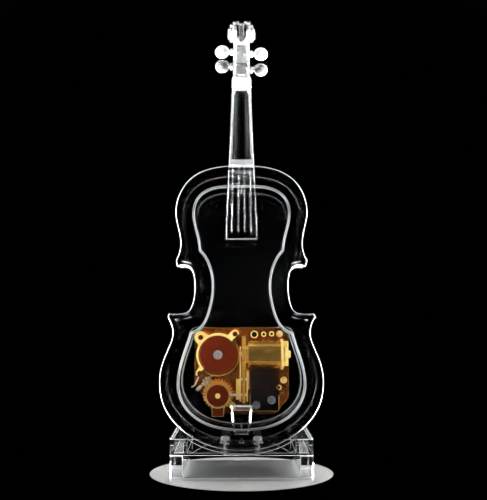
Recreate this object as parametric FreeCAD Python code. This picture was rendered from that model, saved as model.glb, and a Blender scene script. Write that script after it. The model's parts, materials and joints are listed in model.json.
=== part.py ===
import FreeCAD, Part
import os
from math import pi, sin, cos, tan, radians, degrees, sqrt, atan2
from FreeCAD import Vector as V

# Clear violin-shaped music box on a clear stand, with a gold-plated 18-note wind-up movement.
# Millimetres. Z is up, the front faces -Y, X is to the right. The floor is Z = 0.

# ---- overall sizes -------------------------------------------------------------------------
HEIGHT = 232.6            # floor to the top of the scroll
STAND_W = 71.4            # stand, across
STAND_D = 50.0            # stand, front to back
STAND_RIM = 20.8          # top of the stand's walls
SEAT_Z = 13.6             # top of the stand's lower block, where the violin sits
STAND_END = 6.5           # thickness of the lower block's two ends
STAND_FLOOR = 2.0         # lower block's bottom web
TRAY_FLOOR = 1.0          # floor of the upper tray
STAND_WALL = 2.0          # walls of the upper tray

BODY_FRONT = -16.0        # front face of the violin body
BODY_BACK = 10.0          # back face of the violin body
PLATE = 1.8               # front plate
BACK_PLATE = 2.0          # back plate
RIB = 1.8                 # outer side wall
CHAMBER_WALL = 1.2        # wall of the inner chamber
OVERHANG = 0.8            # plates stand out past the side wall
BODY_TOP = 158.3
LOWER_BOUT = 41.6         # half widths of the outline
WAIST = 23.6
UPPER_BOUT = 33.3

HATCH_FIT = 0.2           # gap round the hatch plug
HATCH_LIP = 2.6           # the hatch flange covers the opening's edge by this
HATCH_T = 1.6
HATCH_TOP = 75.0          # top edge of the hatch at the middle
HATCH_DEPTH = 3.0
HATCH_IN = BODY_BACK - HATCH_DEPTH      # inner face of the hatch, where the movement's bed sits

# ---- neck and head -------------------------------------------------------------------------
BOARD_LIFT = 1.6          # the fingerboard stands this far off the body
BOARD_BACK = BODY_FRONT - BOARD_LIFT    # glue face between neck and fingerboard
BOARD_T = 2.0
BOARD_END = 120.6         # lower end of the fingerboard
BOARD_W0 = 7.9            # half width at the lower end
BOARD_W1 = 4.6            # half width at the nut
NUT_Z = HEIGHT - 35.9
NECK_W0 = 6.1             # half width of the neck at the heel
NECK_W1 = 4.7             # half width of the neck at the nut
HEEL_TOP = 161.8          # where the heel runs out into the neck
PEGBOX_W = 4.3
PEGBOX_Z0 = HEIGHT - 29.6
PEGBOX_Z1 = HEIGHT - 10.8
SCROLL_R = 5.4
HEAD_Y = BOARD_BACK + 6.1            # middle of the pegbox and the scroll, front to back
PEG_REACH = 9.8           # peg head's centre, from the middle

# ---- movement ------------------------------------------------------------------------------
BED_T = 2.0
BED_FRONT = HATCH_IN - BED_T
RUN = 0.05                # running clearance of every shaft, radial
BARREL_X, AXIS_Z = -12.1, 62.0
BARREL_R = 11.0
BARREL_FRONT = -11.2
ARBOR_R = 1.6
CYL_Y = -4.3              # cylinder axis is along X at this Y and at AXIS_Z
CYL_R = 6.75
CYL_X0, CYL_X1 = 3.6, 20.3
CYL_ARBOR_R = 1.0
PIN_R, PIN_H = 0.22, 0.6
NOTES = 18

CROWN_N, CROWN_R = 40, 9.6        # face gear on the winding arbor
PINION_N = 12
CROWN_FACE = 1.2
GEAR_M, GEAR_N = 0.375, 48        # cylinder gear
IDLER_N, CROSS_N = 22, 21
GEAR_X0, GEAR_X1 = 0.2, 2.2
GOV_X = -12.2
GOV_CROWN_N, GOV_CROWN_R = 24, 4.8
GOV_PINION_N = 12
GOV_CROWN_FACE = 0.7
WORM_N, WORM_M = 28, 0.55         # governor wheel and its single-start worm
WORM_R = 1.5
WORM_Y = 0.6
WORM_DIR = 133.0                  # where the worm touches the wheel, degrees from +X
BACKLASH = 0.10                   # taken off each gear tooth's thickness

EAR_AT = [(-20.9, 70.9), (-21.3, 52.6), (-3.3, 72.7)]   # the barrel cover's feet
EAR_POST_R = 1.6
COMB_X0, COMB_X1 = 4.6, 19.3
COMB_Y = -4.9                     # middle of the comb's thickness
COMB_T = 0.9
COMB_ROOT_Z = 41.0
COMB_Z0 = 32.6
MOVE_SCREW_R = 0.72
MOVE_SCREWS = [(22.4, 47.9), (20.2, 72.4), (-5.0, 34.5)]

crown_pitch_y = CYL_Y + CROWN_R * PINION_N / CROWN_N
gear_r = GEAR_M * GEAR_N / 2
idler_r = GEAR_M * IDLER_N / 2
cross_r = GEAR_M * CROSS_N / 2
idler_z = AXIS_Z - gear_r - idler_r
cross_z = idler_z - idler_r - cross_r
gov_pinion_r = GOV_CROWN_R * GOV_PINION_N / GOV_CROWN_N
gov_crown_y = CYL_Y + gov_pinion_r
worm_wheel_r = WORM_N * WORM_M / 2
rib_back = BODY_BACK - BACK_PLATE
half_d = STAND_D / 2

os.makedirs("parts", exist_ok=True)
NODES = {}


def save(name, shape):
    NODES[name] = shape
    shape.exportStep("parts/" + name + ".step")


def fuse(shapes):
    out = shapes[0].multiFuse(shapes[1:]) if len(shapes) > 1 else shapes[0]
    return out.removeSplitter()


def cut(shape, tools):
    return shape.cut(Part.makeCompound(tools)) if len(tools) > 1 else shape.cut(tools[0])


def one(shape):
    return shape.Solids[0] if len(shape.Solids) == 1 else shape


def cyl(r, p, q):
    """A round bar from point p to point q."""
    d = V(*q) - V(*p)
    return Part.makeCylinder(r, d.Length, V(*p), d)


def ycyl(r, x, z, y0, y1):
    return cyl(r, (x, y0, z), (x, y1, z))


def xcyl(r, y, z, x0, x1):
    return cyl(r, (x0, y, z), (x1, y, z))


def box(x0, x1, y0, y1, z0, z1):
    return Part.makeBox(x1 - x0, y1 - y0, z1 - z0, V(x0, y0, z0))


def spline(points):
    c = Part.BSplineCurve()
    c.interpolate([V(x, 0, z) for x, z in points])
    return c.toShape()


def line(a, b):
    return Part.makeLine(V(a[0], 0, a[1]), V(b[0], 0, b[1]))


def plate(wire, y0, y1):
    face = Part.Face(wire)
    face.translate(V(0, y0, 0))
    return face.extrude(V(0, y1 - y0, 0))


def poly(points, y0, y1):
    pts = [V(x, y0, z) for x, z in points]
    return Part.Face(Part.makePolygon(pts + [pts[0]])).extrude(V(0, y1 - y0, 0))


def ring_of(half, inset, thick, y0, y1):
    """A wall that follows the outline, its outer face inset from it."""
    return plate(wire_of(half, -inset), y0, y1).cut(plate(wire_of(half, -inset - thick), y0 - 1, y1 + 1))


# ---- outlines ------------------------------------------------------------------------------
# Each outline is the right half, bottom to top, as runs of points between its corners.
def run(points, n=44):
    """A smooth run through the points. At an end on the middle line it leaves level, as its mirror image does."""
    full = list(points)
    if abs(points[0][0]) < 1e-9:
        full = [(-x, z) for x, z in points[3:0:-1]] + full
    if abs(points[-1][0]) < 1e-9:
        full = full + [(-x, z) for x, z in points[-2:-5:-1]]
    c = spline(full).Curve
    t0, t1 = (c.parameter(V(p[0], 0, p[1])) for p in (points[0], points[-1]))
    pts = [c.value(t0 + (t1 - t0) * k / n) for k in range(n + 1)]
    return [points[0]] + [(p.x, p.z) for p in pts[1:-1]] + [points[-1]]


def moved_run(pts, d):
    """The run moved outwards by d along its own normals."""
    out = []
    for i, (x, z) in enumerate(pts):
        a, b = pts[max(i - 1, 0)], pts[min(i + 1, len(pts) - 1)]
        tx, tz = b[0] - a[0], b[1] - a[1]
        if i in (0, len(pts) - 1) and abs(x) < 1e-9:
            tx, tz = (1.0, 0.0) if i == 0 else (-1.0, 0.0)
        n = sqrt(tx * tx + tz * tz)
        out.append((x + d * tz / n, z - d * tx / n))
    return out


def crossing(p, q):
    """Where run p, read from its end, first meets run q: the two indices and the point."""
    for i in range(len(p) - 2, -1, -1):
        for j in range(len(q) - 1):
            (x1, y1), (x2, y2), (x3, y3), (x4, y4) = p[i], p[i + 1], q[j], q[j + 1]
            den = (x2 - x1) * (y4 - y3) - (y2 - y1) * (x4 - x3)
            if abs(den) < 1e-12:
                continue
            t = ((x3 - x1) * (y4 - y3) - (y3 - y1) * (x4 - x3)) / den
            u = ((x3 - x1) * (y2 - y1) - (y3 - y1) * (x2 - x1)) / den
            if 0 <= t <= 1 and 0 <= u <= 1:
                return i, j, (x1 + t * (x2 - x1), y1 + t * (y2 - y1))
    return None


def wire_of(half, d=0.0):
    """The closed outline moved outwards by d, trimmed or bridged at its corners."""
    runs = [moved_run(r, d) for r in half] if d else [list(r) for r in half]
    kept = [runs[0]]
    k = 1
    while k < len(runs):
        for step in (1, 0):
            if k + step < len(runs):
                hit = crossing(kept[-1], runs[k + step]) if d else None
                if hit:
                    i, j, p = hit
                    kept[-1] = kept[-1][:i + 1] + [p]
                    kept.append([p] + runs[k + step][j + 1:])
                    k += step + 1
                    break
        else:
            if d:
                kept.append([kept[-1][-1], runs[k][0]])
            kept.append(runs[k])
            k += 1
    edges = []
    for r in kept:
        if sqrt((r[0][0] - r[-1][0]) ** 2 + (r[0][1] - r[-1][1]) ** 2) < 1e-6:
            continue
        for s in (1, -1):
            pts = [(s * x, z) for x, z in r]
            edges.append(line(pts[0], pts[-1]) if straight(r) else spline(thinned(pts)))
    return Part.Wire(Part.__sortEdges__(edges))


def straight(r):
    a, b, m = r[0], r[-1], r[len(r) // 2]
    return len(r) == 2 or abs((b[0] - a[0]) * (m[1] - a[1]) - (b[1] - a[1]) * (m[0] - a[0])) < 1e-6


def thinned(pts, n=18):
    """About n points of the run, no two of them too close together."""
    n = min(n, len(pts) - 1)
    out = [pts[round(i * (len(pts) - 1) / n)] for i in range(n + 1)]
    kept = [out[0]]
    for p in out[1:-1]:
        if sqrt((p[0] - kept[-1][0]) ** 2 + (p[1] - kept[-1][1]) ** 2) > 0.3:
            kept.append(p)
    return kept + [out[-1]]


def body_outline():
    lower_tip = (LOWER_BOUT - 4.2, 81.2)
    lower_ledge = (LOWER_BOUT - 4.9, 83.1)
    upper_ledge = (UPPER_BOUT - 0.9, 106.9)
    upper_tip = (UPPER_BOUT - 0.1, 110.3)
    lower = [(0, SEAT_Z), (19.0, 17.0), (31.2, 24.8), (38.4, 34.0), (LOWER_BOUT, 46.0),
             (40.4, 57.0), (36.4, 67.0), (34.7, 73.6), (35.6, 77.8), lower_tip]
    waist = [lower_ledge, (31.4, 82.9), (27.0, 84.2), (24.7, 88.4), (WAIST, 96.8),
             (24.1, 102.6), (25.6, 105.8), (28.6, 107.2), upper_ledge]
    upper = [upper_tip, (31.5, 114.0), (30.8, 118.4), (31.8, 125.6), (UPPER_BOUT, 134.0),
             (31.7, 143.0), (26.4, 151.0), (18.0, 156.0), (9.0, BODY_TOP - 0.5), (0, BODY_TOP)]
    return [
        run(lower),
        [lower_tip, lower_ledge],
        run(waist),
        [upper_ledge, upper_tip],
        run(upper),
    ]


def chamber_outline():
    low = (25.1, 72.8)
    high = (20.6, 115.5)
    lower = [(0, 24.6), (16.2, 27.0), (25.4, 32.6), (30.2, 39.6), (31.7, 47.0), (30.2, 57.0), low]
    middle = [low, (19.2, 77.0), (15.6, 85.4), (13.9, 96.0), (15.0, 105.6), (17.2, 111.2), high]
    upper = [high, (21.9, 124.0), (23.7, 134.5), (21.8, 141.2), (15.6, 145.8), (7.4, 147.1), (0, 147.2)]
    return [
        run(lower),
        run(middle),
        run(upper),
    ]


BODY = body_outline()
CHAMBER = chamber_outline()


def below_hatch_top(drop):
    """Everything below the hatch's gently hollow top edge."""
    a, m, b = (-45, HATCH_TOP + 5.4), (0, HATCH_TOP), (45, HATCH_TOP + 5.4)
    arc = Part.Arc(V(a[0], 0, a[1] - drop), V(m[0], 0, m[1] - drop), V(b[0], 0, b[1] - drop)).toShape()
    w = Part.Wire([arc, line((45, b[1] - drop), (45, 0)), line((45, 0), (-45, 0)),
                   line((-45, 0), (-45, a[1] - drop))])
    return plate(w, -30, 30)


# ---- case ----------------------------------------------------------------------------------
def front_plate():
    y = BODY_FRONT + PLATE
    front = plate(wire_of(BODY), BODY_FRONT, y)
    # nib that marks the middle of the bottom
    nib = Part.Face(Part.makePolygon([V(-1.2, y, SEAT_Z + 2 + RIB), V(1.2, y, SEAT_Z + 2 + RIB),
                                      V(0, y, SEAT_Z + 4.4 + RIB), V(-1.2, y, SEAT_Z + 2 + RIB)]))
    return one(front.fuse(nib.extrude(V(0, 3, 0))).removeSplitter())


def half(shape, side):
    """The part of a shape on one side (-1 or 1) of the middle."""
    return one(shape.common(box(min(0, side * 60), max(0, side * 60), -40, 40, 0, 250)).removeSplitter())


def rib_band():
    """The side wall, bent round the whole outline; it is glued up from a left and a right strip."""
    y = BODY_FRONT + PLATE
    shape = ring_of(BODY, OVERHANG, RIB, y, rib_back)
    # two pads inside the bottom wall for the stand's screws
    pads = []
    for x in STAND_SCREW_X:
        pads.append(cyl(3.0, (x, STAND_SCREW_Y, SEAT_Z + 2.2), (x, STAND_SCREW_Y, SEAT_Z + 3.6)))
    shape = shape.fuse(pads)
    holes = [cyl(1.25, (x, STAND_SCREW_Y, SEAT_Z - 1), (x, STAND_SCREW_Y, SEAT_Z + 6)) for x in STAND_SCREW_X]
    return one(cut(shape, holes).removeSplitter())


def chamber_band():
    """The wall of the inner chamber that holds the movement."""
    wall = ring_of(CHAMBER, -CHAMBER_WALL, CHAMBER_WALL, BODY_FRONT + PLATE, rib_back)
    return one(wall.cut(rib_band()).removeSplitter())


STAND_SCREW_X = [-8.5, 8.5]
STAND_SCREW_Y = -3.0


def hatch_opening():
    return plate(wire_of(CHAMBER), -30, 30).common(below_hatch_top(0))


def back_plate():
    shape = plate(wire_of(BODY), rib_back, BODY_BACK)
    shape = shape.cut(hatch_opening())
    return one(shape.removeSplitter())


def movement_hatch():
    plug = plate(wire_of(CHAMBER, -HATCH_FIT), HATCH_IN, BODY_BACK).common(below_hatch_top(HATCH_FIT))
    lip = plate(wire_of(CHAMBER, HATCH_LIP), BODY_BACK, BODY_BACK + HATCH_T).common(below_hatch_top(HATCH_FIT))
    shape = plug.fuse(lip)
    holes = [ycyl(MOVE_SCREW_R + 0.2, x, z, HATCH_IN - 1, BODY_BACK + 4) for x, z in MOVE_SCREWS]
    holes.append(ycyl(3.0, BARREL_X, AXIS_Z, HATCH_IN - 1, BODY_BACK + 4))
    return one(cut(shape, holes).removeSplitter())


def pan_screw(r, head_r, head_h, length):
    """A pan-head screw along +Z from the underside of its head, which is at z = 0."""
    head = Part.makeCylinder(head_r, head_h, V(0, 0, -head_h))
    edge = [e for e in head.Edges if abs(e.BoundBox.ZMax + head_h) < 1e-6 and len(e.Vertexes) == 1]
    head = head.makeFillet(head_h * 0.45, edge)
    slot = Part.makeBox(head_r * 3, head_r * 0.3, head_h * 0.5, V(-head_r * 1.5, -head_r * 0.15, -head_h))
    return head.cut(slot).fuse(Part.makeCylinder(r, length, V(0, 0, 0))).removeSplitter()


def place(shape, at, axis, spin=0.0):
    s = shape.copy()
    s.rotate(V(0, 0, 0), V(0, 0, 1), spin)
    rot = FreeCAD.Rotation(V(0, 0, 1), V(*axis))
    s.Placement = FreeCAD.Placement(V(*at), rot).multiply(s.Placement)
    return s


def tailpiece():
    y0, y1 = BODY_FRONT - 4.0, BODY_FRONT
    outline = [(-5.5, 36.9), (5.5, 36.9), (4.3, 25.6), (3.6, 22.2), (-3.6, 22.2), (-4.3, 25.6)]
    block = poly(outline, y0, y1)
    edges = [e for e in block.Edges if e.BoundBox.YMax < y0 + 0.01]
    block = block.makeChamfer(0.7, edges)
    groove = box(-7, 7, y0 - 1, y0 + 0.8, 34.6, 35.3)
    return one(block.cut(groove))


# ---- stand ---------------------------------------------------------------------------------
def rounded_box(x, y0, y1, z0, z1, r):
    b = box(-x, x, y0, y1, z0, z1)
    return b.makeFillet(r, [e for e in b.Edges if abs(e.BoundBox.ZLength - (z1 - z0)) < 1e-6])


def stand_base():
    """Two end blocks on a bottom web, open through the front and the back."""
    w = STAND_W / 2
    top = SEAT_Z - TRAY_FLOOR
    block = rounded_box(w, -half_d, half_d, 0, top, 1.2)
    window = box(-w + STAND_END, w - STAND_END, -half_d - 1, half_d + 1, STAND_FLOOR, top + 3)
    edges = [e for e in window.Edges if abs(e.BoundBox.YLength - STAND_D - 2) < 1e-6 and e.BoundBox.ZMax < top]
    window = window.makeFillet(1.6, edges)
    foot = box(-w + 3, w - 3, -half_d + 3, half_d - 3, -1, 0.6)
    foot = foot.makeFillet(2.0, [e for e in foot.Edges if abs(e.BoundBox.ZLength - 1.6) < 1e-6])
    return one(cut(block, [window, foot]).removeSplitter())


def saddle_arc(gap):
    """The hollow the violin's lower bout drops into."""
    return plate(wire_of(BODY, gap), -half_d - 2, half_d + 2)


def stand_saddle():
    """Thin-walled tray glued on the lower block; its walls are hollowed to the violin's bottom."""
    w = STAND_W / 2
    tray = rounded_box(w, -half_d, half_d, SEAT_Z - TRAY_FLOOR, STAND_RIM, 1.2)
    well = box(-w + STAND_WALL, w - STAND_WALL, -half_d + STAND_WALL, half_d - STAND_WALL, SEAT_Z, STAND_RIM + 1)
    well = well.makeFillet(0.6, [e for e in well.Edges if abs(e.BoundBox.ZLength - (STAND_RIM - SEAT_Z + 1)) < 1e-6])
    tray = tray.cut(well)
    rails = [box(x - 0.8, x + 0.8, -half_d + 1, half_d - 1, SEAT_Z - 0.2, STAND_RIM - 2.2) for x in (-w + 7.7, w - 7.7)]
    tray = tray.fuse(rails).cut(saddle_arc(0.35).common(box(-60, 60, -60, 60, SEAT_Z, 60)))
    holes = [cyl(0.95, (x, STAND_SCREW_Y, SEAT_Z - 4), (x, STAND_SCREW_Y, SEAT_Z + 1)) for x in STAND_SCREW_X]
    return one(cut(tray, holes).removeSplitter())


def stand_screws():
    s = pan_screw(0.9, 2.3, 2.0, 4.4)
    return [place(s, (x, STAND_SCREW_Y, SEAT_Z + 3.6), (0, 0, -1), 40 * i) for i, x in enumerate(STAND_SCREW_X)]


# ---- neck and head -------------------------------------------------------------------------
def d_profile(half_w, y0, y1, z):
    """Flat at the front, straight sides and a round back."""
    side = max(y0 + 1.5, y1 - half_w)
    back = Part.Arc(V(half_w, side, z), V(0, y1, z), V(-half_w, side, z)).toShape()
    return Part.Wire([Part.makeLine(V(-half_w, y0, z), V(half_w, y0, z)),
                      Part.makeLine(V(half_w, y0, z), V(half_w, side, z)), back,
                      Part.makeLine(V(-half_w, side, z), V(-half_w, y0, z))])


def neck_and_scroll():
    y0 = BOARD_BACK
    ends = [d_profile(NECK_W0, y0, y0 + 9.0, HEEL_TOP), d_profile(NECK_W1, y0, y0 + 7.6, NUT_Z)]
    bar = Part.makeLoft(ends, True, False)
    foot = d_profile(NECK_W0 + 0.3, y0, 3.0, BODY_TOP - 0.15)
    ankle = d_profile(NECK_W0 + 0.2, y0, 1.0, BODY_TOP + 1)
    calf = d_profile(NECK_W0 + 0.1, y0, -4.0, HEEL_TOP - 1.6)
    low = d_profile(NECK_W0, y0, y0 + 9.0, HEEL_TOP)
    heel = Part.makeLoft([foot, ankle, calf, low], True, True)
    heel = heel.cut(plate(wire_of(BODY), BODY_FRONT, BODY_BACK))
    block = Part.makeLoft([d_profile(NECK_W1, y0, y0 + 7.6, NUT_Z), d_profile(PEGBOX_W + 0.6, y0, y0 + 8.6, PEGBOX_Z0 - 2),
                           d_profile(PEGBOX_W, y0 + 0.4, y0 + 10.2, PEGBOX_Z0)], True, True)
    pegbox = Part.makeLoft([d_profile(PEGBOX_W, y0 + 0.4, y0 + 10.2, PEGBOX_Z0),
                            d_profile(PEGBOX_W - 0.4, y0 + 2.2, y0 + 10.2, PEGBOX_Z1 + 1)], True, True)
    mortise = box(-PEGBOX_W + 1.7, PEGBOX_W - 1.7, y0 - 2, y0 + 6.4, PEGBOX_Z0 + 1.2, PEGBOX_Z1 - 2.4)
    mortise = mortise.makeFillet(0.7, [e for e in mortise.Edges if abs(e.BoundBox.YLength - 8.4) < 1e-6])
    sz = HEIGHT - SCROLL_R
    drum = xcyl(SCROLL_R, HEAD_Y, sz, -4.4, 4.4)
    drum = drum.makeFillet(0.6, [e for e in drum.Edges if len(e.Vertexes) == 1])
    volutes = []
    for s in (-1, 1):
        x1, x2, x3 = 4.2 * s, 6.0 * s, 6.9 * s
        v = xcyl(4.4, HEAD_Y, sz - 0.7, min(x1, x2), max(x1, x2))
        v = v.makeFillet(0.5, [e for e in v.Edges if len(e.Vertexes) == 1])
        eye = xcyl(2.5, HEAD_Y + 0.3, sz - 1.0, min(x2, x3) - (0.1 if s > 0 else 0), max(x2, x3) + (0.1 if s < 0 else 0))
        eye = eye.makeFillet(0.35, [e for e in eye.Edges if len(e.Vertexes) == 1 and abs(e.BoundBox.XMin - x3) < 0.2])
        volutes += [v, eye]
    groove = Part.makeTorus(SCROLL_R + 0.5, 1.5, V(0, HEAD_Y, sz), V(1, 0, 0))
    side = [Part.makeTorus(SCROLL_R + 0.55, 0.9, V(3.3 * s, HEAD_Y, sz), V(1, 0, 0)) for s in (-1, 1)]
    head = pegbox.cut(mortise).fuse([drum] + volutes)
    head = cut(head, [groove] + side)
    bores = []
    for x, z in PEGS:
        s = 1 if x > 0 else -1
        bores.append(xcyl(PEG_STEM_R, HEAD_Y, z, min(s * 1.0, s * 6.0), max(s * 1.0, s * 6.0)))
    head = cut(head, bores)
    return one(bar.fuse([heel, block, head]).removeSplitter())


PEG_STEM_R = 1.15
PEGS = [(-PEG_REACH, HEIGHT - 15.5), (-PEG_REACH, HEIGHT - 22.9),
        (PEG_REACH, HEIGHT - 16.6), (PEG_REACH, HEIGHT - 24.6)]


def peg(x, z):
    """A turned stem with a collar and a flat oval thumb-piece."""
    reach = abs(x)
    stem = xcyl(PEG_STEM_R, HEAD_Y, z, PEGBOX_W - 1.7, reach)
    collar = xcyl(1.7, HEAD_Y, z, PEGBOX_W + 0.25, PEGBOX_W + 1.3)
    head = Part.makeSphere(1.0, V(0, 0, 0))
    m = FreeCAD.Matrix()
    m.scale(3.55, 1.5, 3.3)
    head = head.transformGeometry(m)
    head.translate(V(reach, HEAD_Y, z))
    whole = one(stem.fuse([collar, head]).removeSplitter())
    if x < 0:
        whole.rotate(V(0, HEAD_Y, z), V(0, 0, 1), 180)
    return whole


def fingerboard():
    y1 = BOARD_BACK
    y0 = y1 - BOARD_T
    outline = [(-BOARD_W0, BOARD_END), (BOARD_W0, BOARD_END), (BOARD_W1, NUT_Z), (-BOARD_W1, NUT_Z)]
    board = poly(outline, y0, y1)
    board = board.makeFillet(0.5, [e for e in board.Edges if e.BoundBox.YMax < y0 + 0.01])
    ridges = []
    for k in (-1.5, -0.5, 0.5, 1.5):
        x0, x1 = k * 3.3, k * 2.8
        ridges.append(cyl(0.28, (x0, y0, BOARD_END + 3.6), (x1, y0, BODY_TOP - 1)))
    return one(board.fuse(ridges).removeSplitter())


def nut():
    y0 = BOARD_BACK - BOARD_T - 0.7
    b = box(-NECK_W1, NECK_W1, y0, BOARD_BACK, NUT_Z, NUT_Z + 2.6)
    b = b.makeFillet(0.6, [e for e in b.Edges if e.BoundBox.YMax < y0 + 0.01 and e.BoundBox.XLength > 5])
    slots = [box(k * 2.0 - 0.25, k * 2.0 + 0.25, y0 - 1, y0 + 0.5, NUT_Z - 1, NUT_Z + 4) for k in (-1.5, -0.5, 0.5, 1.5)]
    return one(cut(b, slots))


# ---- gears ---------------------------------------------------------------------------------
def spur_outline(n, module, phase, backlash, add=0.9, ded=1.2, pressure=20.0):
    """Points of a spur gear with involute flanks. A tooth is centred on the angle phase."""
    rp = n * module / 2
    rb = rp * cos(radians(pressure))
    ra, rf = rp + add * module, rp - ded * module
    inv = tan(radians(pressure)) - radians(pressure)
    half = pi / (2 * n) - backlash / (2 * rp)

    def flank(r):
        if r <= rb:
            return half + inv
        a = sqrt(r * r / (rb * rb) - 1)
        return half + inv - (a - atan2(a, 1))
    start = max(rb, rf)
    radii = [start + (ra - start) * k / 4 for k in range(5)]
    pts = []
    for i in range(n):
        mid = radians(phase) + 2 * pi * i / n
        side = [(r, flank(r)) for r in radii]
        if rf < rb:
            side = [(rf, flank(rb))] + side
        pts += [(r * cos(mid - f), r * sin(mid - f)) for r, f in side]
        pts += [(r * cos(mid + f), r * sin(mid + f)) for r, f in reversed(side)]
    return pts


def x_gear(n, module, at, x0, x1, phase, bore, add=0.9, ded=1.2):
    """A spur gear about X; phase is measured from +Y towards +Z."""
    y, z = at
    pts = [V(x0, y + a, z + b) for a, b in spur_outline(n, module, phase, BACKLASH, add, ded)]
    g = Part.Face(Part.makePolygon(pts + [pts[0]])).extrude(V(x1 - x0, 0, 0))
    return g.cut(xcyl(bore, y, z, x0 - 1, x1 + 1))


def crown_gear(n, r, face, at, y_pitch, module, body_back, body_r, bore, phase):
    """A face gear about Y: radial teeth that stand on the disc's front. A gap is centred on phase."""
    x, z = at
    add, ded = 0.85 * module, 1.15 * module
    root, tip = y_pitch + ded, y_pitch - add
    disc = ycyl(body_r, x, z, root, body_back)
    teeth = []
    for i in range(n):
        a = phase + 360.0 * (i + 0.5) / n
        profiles = []
        for rr in (r - face / 2, r + face / 2):
            pitch = 2 * pi * rr / n
            half = pitch / 4 - BACKLASH / 2 - 0.04 * pitch
            lean = tan(radians(20.0))
            w_root, w_tip = half + (ded + 0.02) * lean, max(half - add * lean, 0.08)
            pts = [V(rr, root + 0.02, -w_root), V(rr, tip, -w_tip), V(rr, tip, w_tip), V(rr, root + 0.02, w_root)]
            profiles.append(Part.makePolygon(pts + [pts[0]]))
        t = Part.makeLoft(profiles, True, True)
        t.rotate(V(0, 0, 0), V(0, -1, 0), a)
        t.translate(V(x, 0, z))
        teeth.append(t)
    return disc.fuse(teeth).cut(ycyl(bore, x, z, -40, 40)).removeSplitter()


def helix_worm(r, module, length, bore):
    """A single-start right-hand worm about Z, centred on z = 0, thread centred on +X at z = 0."""
    pitch = pi * module
    root = r - 1.15 * module
    tip = r + 0.9 * module
    half = pitch / 4 - BACKLASH / 2
    lean = tan(radians(20.0))
    turns = length / pitch
    core = Part.makeCylinder(root, length, V(0, 0, -length / 2))
    steps = 24
    count = int(steps * turns)
    w_root, w_tip = half + (r - root) * lean, half - (tip - r) * lean
    rings = []
    for k in range(count + 1):
        z = -length / 2 + length * k / count
        a = 2 * pi * z / pitch
        fade = min(1.0, (k / steps) * 2.0, ((count - k) / steps) * 2.0)
        t = root + (tip - root) * max(fade, 0.02)
        w = w_root + (w_tip - w_root) * fade
        rr = root - 0.15
        pts = [V(rr * cos(a), rr * sin(a), z - w_root), V(t * cos(a), t * sin(a), z - w),
               V(t * cos(a), t * sin(a), z + w), V(rr * cos(a), rr * sin(a), z + w_root)]
        rings.append(pts)
    faces = []

    def tri(a, b, c):
        faces.append(Part.Face(Part.makePolygon([a, b, c, a])))
    for p, q in zip(rings, rings[1:]):
        for i in range(4):
            j = (i + 1) % 4
            tri(p[i], p[j], q[i])
            tri(q[i], p[j], q[j])
    for p in (rings[0], rings[-1]):
        tri(p[0], p[1], p[2])
        tri(p[0], p[2], p[3])
    thread = Part.Solid(Part.Shell(faces))
    if thread.Volume < 0:
        thread.reverse()
    ends = Part.makeCylinder(tip + 1, length - 0.4, V(0, 0, -length / 2 + 0.2))
    worm = core.fuse(thread.common(ends))
    return worm.cut(Part.makeCylinder(bore, length + 2, V(0, 0, -length / 2 - 1)))


# ---- movement ------------------------------------------------------------------------------
def bedplate():
    outline = [(-15.0, 30.0), (17.6, 30.0), (24.9, 38.6), (25.0, 70.3), (20.6, 75.6), (-19.6, 75.6),
               (-24.7, 69.4), (-24.7, 46.6)]
    bed = poly(outline, BED_FRONT, HATCH_IN)
    bed = bed.makeFillet(1.4, [e for e in bed.Edges if abs(e.BoundBox.YLength - BED_T) < 1e-6 and
                               e.BoundBox.XLength < 1e-6 and e.BoundBox.ZLength < 1e-6])
    rims = []
    for x, z, r in ((6.8, 72.1, 2.0), (11.8, 72.2, 1.35), (16.0, 72.4, 1.35), (19.9, 44.0, 1.35)):
        rims.append((ycyl(r, x, z, BED_FRONT - 0.9, BED_FRONT + 0.5), ycyl(r - 0.6, x, z, BED_FRONT - 2, HATCH_IN + 1)))
    bed = bed.fuse([a for a, _ in rims] + [ycyl(1.7, x, z, BED_FRONT - 0.9, BED_FRONT + 0.5) for x, z in MOVE_SCREWS])
    holes = [b for _, b in rims]
    holes += [ycyl(MOVE_SCREW_R + 0.03, x, z, BED_FRONT - 2, HATCH_IN + 1) for x, z in MOVE_SCREWS]
    holes += [ycyl(ARBOR_R + RUN, BARREL_X, AXIS_Z, BED_FRONT - 1, HATCH_IN + 1)]
    holes += [ycyl(0.8 + RUN, GOV_X, cross_z, BED_FRONT - 1, HATCH_IN - 0.6)]
    holes += [box(GEAR_X0 - 0.6, GEAR_X1 + 0.5, BED_FRONT - 1, HATCH_IN + 1, AXIS_Z - 4.6, AXIS_Z + 4.6)]
    holes += [ycyl(0.7, x, z, BED_FRONT - 1, HATCH_IN + 1) for x, z in EAR_AT]
    return one(cut(bed, holes).removeSplitter())


def movement_screws():
    """Screws that come in from the back, through the hatch and into the bed's bosses."""
    y = BODY_BACK + HATCH_T
    s = pan_screw(MOVE_SCREW_R, 1.7, 1.1, y - BED_FRONT - 0.2)
    return [place(s, (x, y, z), (0, -1, 0), 50 * i) for i, (x, z) in enumerate(MOVE_SCREWS)]


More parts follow.
